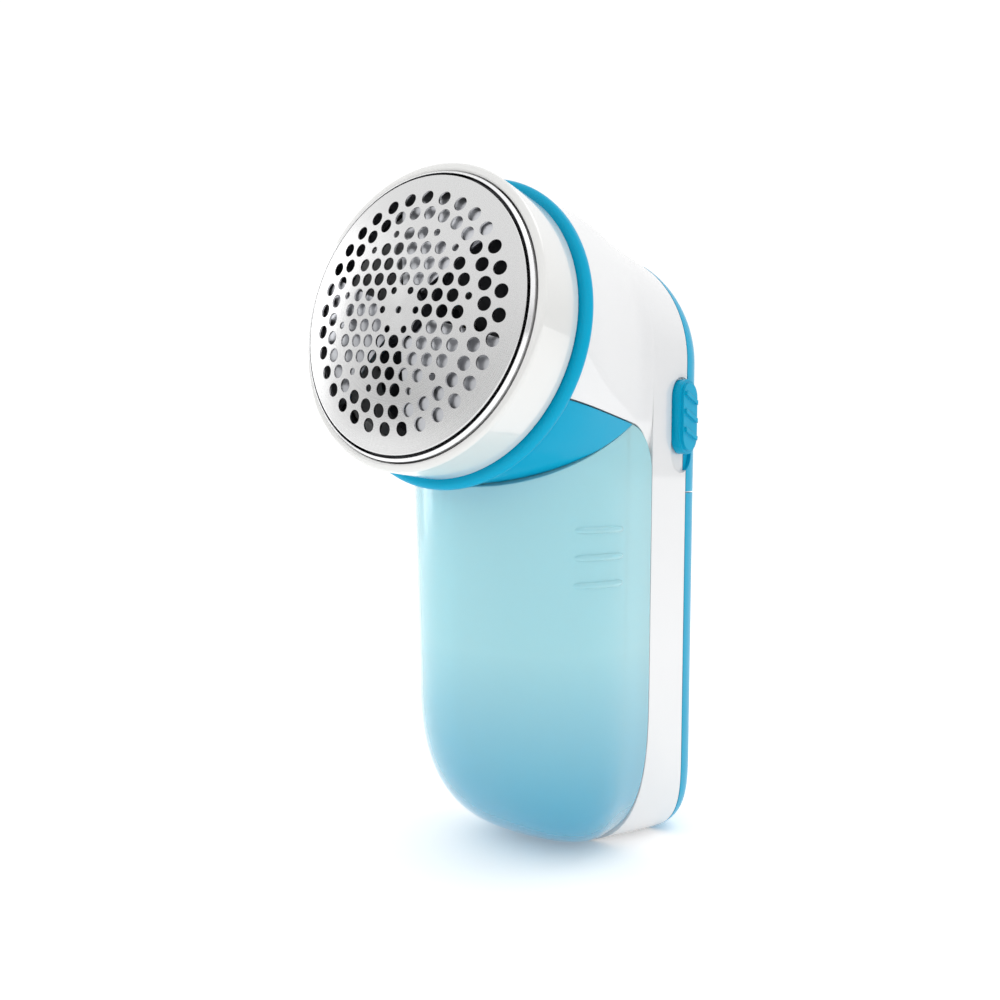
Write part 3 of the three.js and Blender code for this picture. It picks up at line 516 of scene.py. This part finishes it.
def hole_centres():
    """A turned hexagonal field of holes inside two rings of holes, as (x, y, radius)."""
    pitch, spin = RIM_RADIUS / 8, math.radians(FIELD_TURN)
    row_height = pitch * 0.866
    wide_rows = ((2, 3, 4), (1.5, 2.5, 3.5), (0, 1, 2, 3, 4), (0.5, 1.5, 2.5, 3.5), (0, 1, 2), (0.5,))
    narrow_rows = ((), (4.5,), (), (), (3,), (1.5,))
    holes = [(0, 0, HOLE_NARROW)]
    for rows, radius in ((wide_rows, HOLE_WIDE), (narrow_rows, HOLE_NARROW)):
        for row, steps in enumerate(rows):
            for step in steps:
                for across in ((1,) if step == 0 else (1, -1)):
                    for up in ((1,) if row == 0 else (1, -1)):
                        holes.append((across * step * pitch, up * row * row_height, radius))
    for i in range(6):
        angle = math.pi * i / 3
        holes.append((1.23 * pitch * math.cos(angle), 1.23 * pitch * math.sin(angle), HOLE_NARROW))
    turned_holes = [
        (u * math.cos(spin) - v * math.sin(spin), u * math.sin(spin) + v * math.cos(spin), r)
        for u, v, r in holes]
    for index, radius in enumerate(HOLE_RINGS):
        for i in range(HOLES_PER_RING):
            angle = 2 * math.pi * (i + (1 - index) / 2) / HOLES_PER_RING
            turned_holes.append((radius * math.cos(angle), radius * math.sin(angle), HOLE_IN_RING))
    return turned_holes


def foil():
    shoulder, inner, rounds = FOIL_EDGE - FOIL_BEND, FOIL_EDGE - FOIL_THICKNESS, 26
    over = [(r, dome(r)) for r in np.linspace(0, shoulder, rounds)]
    edge = arc(shoulder, dome(shoulder) - FOIL_BEND, FOIL_BEND, 75, 0, 5)
    skirt = [(FOIL_EDGE, FOIL_FOOT), (inner, FOIL_FOOT)]
    under = [(r, dome(r) - FOIL_THICKNESS) for r in np.linspace(inner, 0, rounds)]
    points, faces, sides = [], [], 28
    for x, y, radius in hole_centres():
        start = len(points)
        turn = [2 * math.pi * i / sides for i in range(sides)]
        for a in (-1, DOME_HEIGHT + 1):
            points += [(x + radius * math.cos(t), y + radius * math.sin(t), a) for t in turn]
        faces.append(tuple(range(start, start + sides)))
        faces.append(tuple(range(start + sides, start + 2 * sides)))
        for i in range(sides):
            j = (i + 1) % sides
            faces.append((start + i, start + j, start + sides + j, start + sides + i))
    return cut(turned([*over, *edge, *skirt, *under]), solid(points, faces))


def arc(radius, at, size, start, end, steps=8):
    """Points of a rounded corner in a profile, in degrees."""
    turn = [math.radians(mix(start, end, i / steps)) for i in range(steps + 1)]
    return [(radius + size * math.cos(a), at + size * math.sin(a)) for a in turn]


def head_ring():
    profile = [(28.2, -6.2), *arc(28.7, -1.6, 0.5, 180, 90, 6), *arc(29.1, -2.0, 0.8, 70, 0, 8)]
    profile += [(29.78, -7), (29.55, HEAD_BACK + 0.3), (29.25, HEAD_BACK), (27.5, HEAD_BACK), (27.5, -6.2)]
    lugs = [helical_bar(26.3, 27.9, -12.55, 0.9, 360 * i / STARTS + 2, 12) for i in range(STARTS)]
    return join(turned(profile), *lugs)


def foil_rim():
    edge = [*arc(27.52, -0.32, 0.12, 180, 60, 4), *arc(27.88, -0.86, 0.12, 50, 0, 3)]
    return turned([(27.4, -0.8), *edge, (28, -4.5), (27.6, -4.5), (27.6, -1)])


def collar_ring():
    outer = arc(30.3, -14.1, 1.15, 90, -90, 16)
    return turned([(NOSE_OUTER + GAP, -12.95), *outer, (NOSE_OUTER + GAP, -15.25)])


def blade(turn):
    steps, across, width = 14, 12, math.radians(BLADE_WIDTH)

    def point(radius, share, drop):
        angle = math.radians(BLADE_TURN + turn) + (share - 0.5) * width
        a = dome(radius) - FOIL_THICKNESS - 0.3 - 1.2 * share - drop
        return (radius * math.cos(angle), radius * math.sin(angle), a)

    rings = []
    for i in range(steps + 1):
        radius = mix(ROTOR_HUB + 1, ROTOR_RADIUS, i / steps)
        shares = [k / across for k in range(across + 1)]
        over = [point(radius, s, 0) for s in shares]
        rings.append(over + [point(radius, s, 0.5) for s in reversed(shares)])
    return loft(rings)


def switch_button():
    top, bottom, half = SWITCH_TOP, SWITCH_BOTTOM, SWITCH_HALF
    cap = side_patch(top, bottom, half, -1.5, 0.5)
    crown = side_patch(top - 0.8, bottom + 0.8, half - 0.8, -2.1, -1.2)
    layer = side_patch(top - 1.4, bottom + 1.4, half - 1.4, -2.6, -1.8)
    bars = []
    for z in RIB_HEIGHTS:
        bar = moved(block(20, 32, -8, 8, -0.45, 0.45), Matrix.Rotation(RIB_TURN, 4, "X"))
        bars.append(moved(bar, Matrix.Translation((0, SWITCH_Y, z))))
    stem = block(STEM_INNER, STEM_OUTER, STEM_FRONT, STEM_REAR, STEM_BOTTOM, STEM_TOP)
    return join(cap, crown, common(layer, join(*bars)), stem)


# The container's plastic: its surface colour high up, its colour at the foot deepened with painted shade for the
# longer path light takes through the curved foot, and what its depth absorbs per metre.
FROST_LIGHT, FROST_FOOT_SHADE = (0.52, 0.92, 0.99), (0.02, 0.50, 0.76)
FROST_TINT, FROST_DENSITY = (0.0, 0.86, 0.94), 60


# Materials. Each has a fine relief, and most have a coarser mottling of colour and roughness.
class Surface:
    """A node material with a Principled shader, built up by short calls."""

    def __init__(self, name, colour, roughness, metallic=0.0):
        self.material = bpy.data.materials.new(name)
        self.material.use_nodes = True
        self.tree = self.material.node_tree
        self.shader = self.tree.nodes["Principled BSDF"]
        self.shader.inputs["Base Color"].default_value = (*colour, 1)
        self.shader.inputs["Roughness"].default_value = roughness
        self.shader.inputs["Metallic"].default_value = metallic
        self.colour, self.roughness = colour, roughness
        self.place = self.add("ShaderNodeTexCoord").outputs["Object"]

    def add(self, kind, **settings):
        node = self.tree.nodes.new(kind)
        for key, value in settings.items():
            setattr(node, key, value)
        return node

    def link(self, start, end):
        self.tree.links.new(start, end)

    def set(self, **values):
        for key, value in values.items():
            self.shader.inputs[key.replace("_", " ")].default_value = value
        return self

    def noise(self, scale, detail=4.0):
        node = self.add("ShaderNodeTexNoise")
        node.inputs["Scale"].default_value = scale
        node.inputs["Detail"].default_value = detail
        self.link(self.place, node.inputs["Vector"])
        return node.outputs["Fac"]

    def ranged(self, value, low, high, start=0.3, end=0.7):
        node = self.add("ShaderNodeMapRange")
        for name, number in (("From Min", start), ("From Max", end), ("To Min", low), ("To Max", high)):
            node.inputs[name].default_value = number
        self.link(value, node.inputs["Value"])
        return node.outputs["Result"]

    def vary(self, scale, colour_change, roughness_change):
        """Mottles the colour and the roughness a little either way. The noise stays inside its ends, so its
        peaks don't flatten into patches with an edge."""
        value = self.noise(scale)
        ends = (0.1, 0.9)
        low, high = self.roughness - roughness_change, self.roughness + roughness_change
        self.link(self.ranged(value, low, high, *ends), self.shader.inputs["Roughness"])
        blend = self.add("ShaderNodeMix", data_type="RGBA")
        darker = [c * (1 - colour_change) for c in self.colour]
        blend.inputs["A"].default_value = (*darker, 1)
        blend.inputs["B"].default_value = (*[min(1, c * (1 + colour_change)) for c in self.colour], 1)
        self.link(self.ranged(value, 0, 1, *ends), blend.inputs["Factor"])
        self.link(blend.outputs["Result"], self.shader.inputs["Base Color"])
        return self

    def relief(self, value, strength, distance, bevel=0.0):
        bump = self.add("ShaderNodeBump")
        bump.inputs["Strength"].default_value = strength
        bump.inputs["Distance"].default_value = distance
        self.link(value, bump.inputs["Height"])
        if bevel:
            edge = self.add("ShaderNodeBevel", samples=6)
            edge.inputs["Radius"].default_value = bevel
            self.link(edge.outputs["Normal"], bump.inputs["Normal"])
        self.link(bump.outputs["Normal"], self.shader.inputs["Normal"])
        return self


def gloss_plastic(name, colour, roughness=0.16, coat=0.35, coat_ior=1.5, shine=0.5):
    made = Surface(name, colour, roughness).vary(60, 0.02, 0.03)
    made.set(Coat_Weight=coat, Coat_Roughness=0.04, Coat_IOR=coat_ior, Specular_IOR_Level=shine)
    return made.relief(made.noise(900, 2.0), 0.05, 0.00004, 0.0004).material


def matte_plastic(name, colour, roughness=0.55):
    made = Surface(name, colour, roughness).vary(120, 0.05, 0.08)
    return made.relief(made.noise(2600, 5.0), 0.25, 0.00006, 0.0002).material


def metal(name, colour, roughness=0.3, grain=1800):
    made = Surface(name, colour, roughness, 1.0).vary(150, 0.04, 0.06)
    return made.relief(made.noise(grain, 3.0), 0.12, 0.00004, 0.00015).material


def brushed_dome(name, colour):
    """Steel brushed in circles about the object's own Z."""
    made = Surface(name, colour, 0.27, 1.0)
    tangent = made.add("ShaderNodeTangent", direction_type="RADIAL", axis="Z")
    made.link(tangent.outputs["Tangent"], made.shader.inputs["Tangent"])
    made.set(Anisotropic=0.75)
    parts = made.add("ShaderNodeSeparateXYZ")
    made.link(made.place, parts.inputs["Vector"])
    flat = made.add("ShaderNodeCombineXYZ")
    made.link(parts.outputs["X"], flat.inputs["X"])
    made.link(parts.outputs["Y"], flat.inputs["Y"])
    length = made.add("ShaderNodeVectorMath", operation="LENGTH")
    made.link(flat.outputs["Vector"], length.inputs[0])
    lines = made.add("ShaderNodeTexNoise", noise_dimensions="1D")
    lines.inputs["Scale"].default_value = 9000
    lines.inputs["Detail"].default_value = 4
    made.link(length.outputs["Value"], lines.inputs["W"])
    made.link(made.ranged(lines.outputs["Fac"], 0.21, 0.33), made.shader.inputs["Roughness"])
    return made.relief(lines.outputs["Fac"], 0.15, 0.00003).material


def frosted_clear(name):
    """Clear blue plastic with a fine frost, deeper in colour where light crosses more, with painted shade that
    deepens its colour towards the foot.
    """
    made = Surface(name, FROST_LIGHT, 0.2)
    made.set(Transmission_Weight=0.45, IOR=1.3, Coat_Weight=1, Coat_Roughness=0.12)
    parts = made.add("ShaderNodeSeparateXYZ")
    made.link(made.place, parts.inputs["Vector"])
    # Painted shade: the base colour deepens towards the foot, by height in the object.
    foot = made.add("ShaderNodeMix", data_type="RGBA")
    foot.inputs["A"].default_value = (*FROST_LIGHT, 1)
    foot.inputs["B"].default_value = (*FROST_FOOT_SHADE, 1)
    made.link(made.ranged(parts.outputs["Z"], 1, 0, 0.004, 0.046), foot.inputs["Factor"])
    made.link(foot.outputs["Result"], made.shader.inputs["Base Color"])
    tint = made.add("ShaderNodeVolumeAbsorption")
    tint.inputs["Color"].default_value = (*FROST_TINT, 1)
    tint.inputs["Density"].default_value = FROST_DENSITY
    made.link(tint.outputs["Volume"], made.tree.nodes["Material Output"].inputs["Volume"])
    return made.relief(made.noise(5200, 2.0), 0.02, 0.00001, 0.0004).material


MATERIALS = {
    "white_shell": gloss_plastic("white_shell", (0.72, 0.725, 0.735), 0.3, coat=1, coat_ior=2.1),
    "ivory_ring": gloss_plastic("ivory_ring", (0.73, 0.73, 0.715), 0.3, coat=1, coat_ior=2.1),
    "blue_shell": gloss_plastic("blue_shell", (0.0, 0.36, 0.58), 0.3, coat=0.15, coat_ior=1.3, shine=0.1),
    "clear_blue": frosted_clear("clear_blue"),
    "foil_steel": brushed_dome("foil_steel", (0.68, 0.68, 0.68)),
    "rim_steel": metal("rim_steel", (0.90, 0.90, 0.91), 0.16),
    "blade_steel": metal("blade_steel", (0.62, 0.63, 0.66), 0.32),
    "dark_steel": metal("dark_steel", (0.30, 0.31, 0.33), 0.35),
    "spring_steel": metal("spring_steel", (0.60, 0.61, 0.63), 0.25),
    "motor_steel": metal("motor_steel", (0.62, 0.63, 0.64), 0.38, grain=1200),
    "grey_plastic": matte_plastic("grey_plastic", (0.035, 0.037, 0.045), 0.5),
    "black_plastic": matte_plastic("black_plastic", (0.012, 0.012, 0.014)),
    "seal_rubber": matte_plastic("seal_rubber", (0.014, 0.014, 0.015), 0.75),
    "brass_parts": metal("brass_parts", (0.72, 0.52, 0.22), 0.3),
    "copper_winding": metal("copper_winding", (0.62, 0.27, 0.12), 0.35, grain=2500),
    "magnet": matte_plastic("magnet", (0.06, 0.06, 0.065), 0.6),
    "capacitor_body": matte_plastic("capacitor_body", (0.55, 0.28, 0.04), 0.4),
    "cell_sleeve": gloss_plastic("cell_sleeve", (0.03, 0.11, 0.08), 0.3),
    "wire_red": matte_plastic("wire_red", (0.45, 0.01, 0.01), 0.45),
    "wire_black": matte_plastic("wire_black", (0.012, 0.012, 0.012), 0.45),
}

SHARP_ANGLE = math.radians(32)

# Every CAD node takes its slot's material, and most outer ones give way to a finer skin.
for node, thing in frame["nodes"].items():
    thing.data.materials.clear()
    thing.data.materials.append(MATERIALS[SLOT_OF[node]])


def show(node, made, in_head_frame=False):
    """Places a finished solid in the frame, in place of its CAD node."""
    scale = Matrix.Scale(MM, 4)
    made.data.transform(scale)
    place = Matrix.Translation(RIM_CENTRE * MM)
    if in_head_frame:
        made.matrix_world = place @ HEAD
    else:
        made.data.transform(place)
    made.name = node + "_skin"
    made.data.name = made.name
    made.data.materials.clear()
    made.data.materials.append(MATERIALS[SLOT_OF[node]])
    made.data.polygons.foreach_set("use_smooth", [True] * len(made.data.polygons))
    made.data.set_sharp_from_angle(angle=SHARP_ANGLE)
    weighted = made.modifiers.new("normals", "WEIGHTED_NORMAL")
    weighted.keep_sharp = True
    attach(made, BODY_OF[node])
    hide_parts(node)


show("main_housing", main_housing())
show("rear_housing", rear_housing())
show("battery_door", battery_door())
show("lint_chute", lint_chute())
show("lint_container", lint_container())
show("switch_button", switch_button())
show("collar_ring", collar_ring(), True)
show("head_ring", head_ring(), True)
show("foil", foil(), True)
show("foil_rim", foil_rim(), True)
for number in range(3):
    show(f"blade_{number + 1}", blade(120 * number), True)


# Floor, light and camera. BEHIND is the level direction from the camera past the object.
HEADING, RISE, ROLL = math.radians(37.235), math.radians(2.14), math.radians(0.517)
BEHIND = (-math.sin(HEADING), math.cos(HEADING), 0)
SKY_LOW, SKY_HIGH = 0.58, 1.05
SENSOR_MM, LENS_MM = 36, 37.637
CAMERA_FROM_RIM = Vector((133.37, -147.07, -27.37))


def area_light(name, place, target, size, energy):
    data = bpy.data.lights.new(name, "AREA")
    data.shape = "RECTANGLE"
    data.size, data.size_y = size
    data.energy = energy
    light = bpy.data.objects.new(name, data)
    light.location = place
    light.rotation_euler = (Vector(target) - Vector(place)).to_track_quat("-Z", "Y").to_euler()
    bpy.context.scene.collection.objects.link(light)


def sky():
    """White overhead and behind the object, and grey at the horizon elsewhere, for gloss to reflect."""
    world = bpy.data.worlds.new("studio")
    world.use_nodes = True
    tree = world.node_tree

    def rising(value, start, end):
        node = tree.nodes.new("ShaderNodeMapRange")
        node.interpolation_type = "SMOOTHSTEP"
        ends = {"From Min": start, "From Max": end, "To Min": SKY_LOW, "To Max": SKY_HIGH}
        for name, number in ends.items():
            node.inputs[name].default_value = number
        tree.links.new(value, node.inputs["Value"])
        return node.outputs["Result"]

    direction = tree.nodes.new("ShaderNodeTexCoord").outputs["Generated"]
    parts = tree.nodes.new("ShaderNodeSeparateXYZ")
    tree.links.new(direction, parts.inputs["Vector"])
    along = tree.nodes.new("ShaderNodeVectorMath")
    along.operation = "DOT_PRODUCT"
    along.inputs[1].default_value = BEHIND
    tree.links.new(direction, along.inputs[0])
    brighter = tree.nodes.new("ShaderNodeMath")
    brighter.operation = "MAXIMUM"
    tree.links.new(rising(parts.outputs["Z"], 0, 0.5), brighter.inputs[0])
    tree.links.new(rising(along.outputs["Value"], 0.2, 0.8), brighter.inputs[1])
    background = tree.nodes["Background"]
    tree.links.new(brighter.outputs["Value"], background.inputs["Strength"])
    background.inputs["Color"].default_value = (1, 1, 1, 1)
    bpy.context.scene.world = world


def paper():
    """A plain round sheet, wide enough for its edge to lie near the horizon."""
    steps, reach, drop, glow = 64, 6.0, 0.0002, 0.22
    turn = [2 * math.pi * i / steps for i in range(steps)]
    mesh = bpy.data.meshes.new("floor")
    mesh.from_pydata([(reach * math.cos(t), reach * math.sin(t), -drop) for t in turn], [], [range(steps)])
    floor = bpy.data.objects.new("floor", mesh)
    bpy.context.scene.collection.objects.link(floor)
    surface = Surface("floor_paper", (0.95, 0.95, 0.95), 0.9)
    surface.set(Emission_Color=(1, 1, 1, 1), Emission_Strength=glow)
    mesh.materials.append(surface.relief(surface.noise(900), 0.02, 0.00002).material)


def studio():
    sky()
    paper()
    centre = (0, -0.02, 0.075)
    area_light("left", (-0.6, -0.16, 0.16), centre, (0.22, 0.5), 0.7)
    area_light("top", (0.2, 0.2, 0.6), centre, (0.5, 0.3), 0.5)


def camera():
    """The photograph's viewpoint, placed from the rim's centre."""
    back = Vector((math.sin(HEADING) * math.cos(RISE), -math.cos(HEADING) * math.cos(RISE), math.sin(RISE)))
    level = Vector((math.cos(HEADING), math.sin(HEADING), 0))
    upright = back.cross(level)
    right = level * math.cos(ROLL) + upright * math.sin(ROLL)
    up = upright * math.cos(ROLL) - level * math.sin(ROLL)
    data = bpy.data.cameras.new("camera")
    data.sensor_width, data.lens = SENSOR_MM, LENS_MM
    data.clip_start = 0.01
    made = bpy.data.objects.new("camera", data)
    turn = Matrix((right, up, back)).transposed().to_4x4()
    made.matrix_world = Matrix.Translation((RIM_CENTRE + CAMERA_FROM_RIM) * MM) @ turn
    bpy.context.scene.collection.objects.link(made)
    bpy.context.scene.camera = made


studio()
camera()
bpy.context.scene.view_settings.view_transform = "Standard"
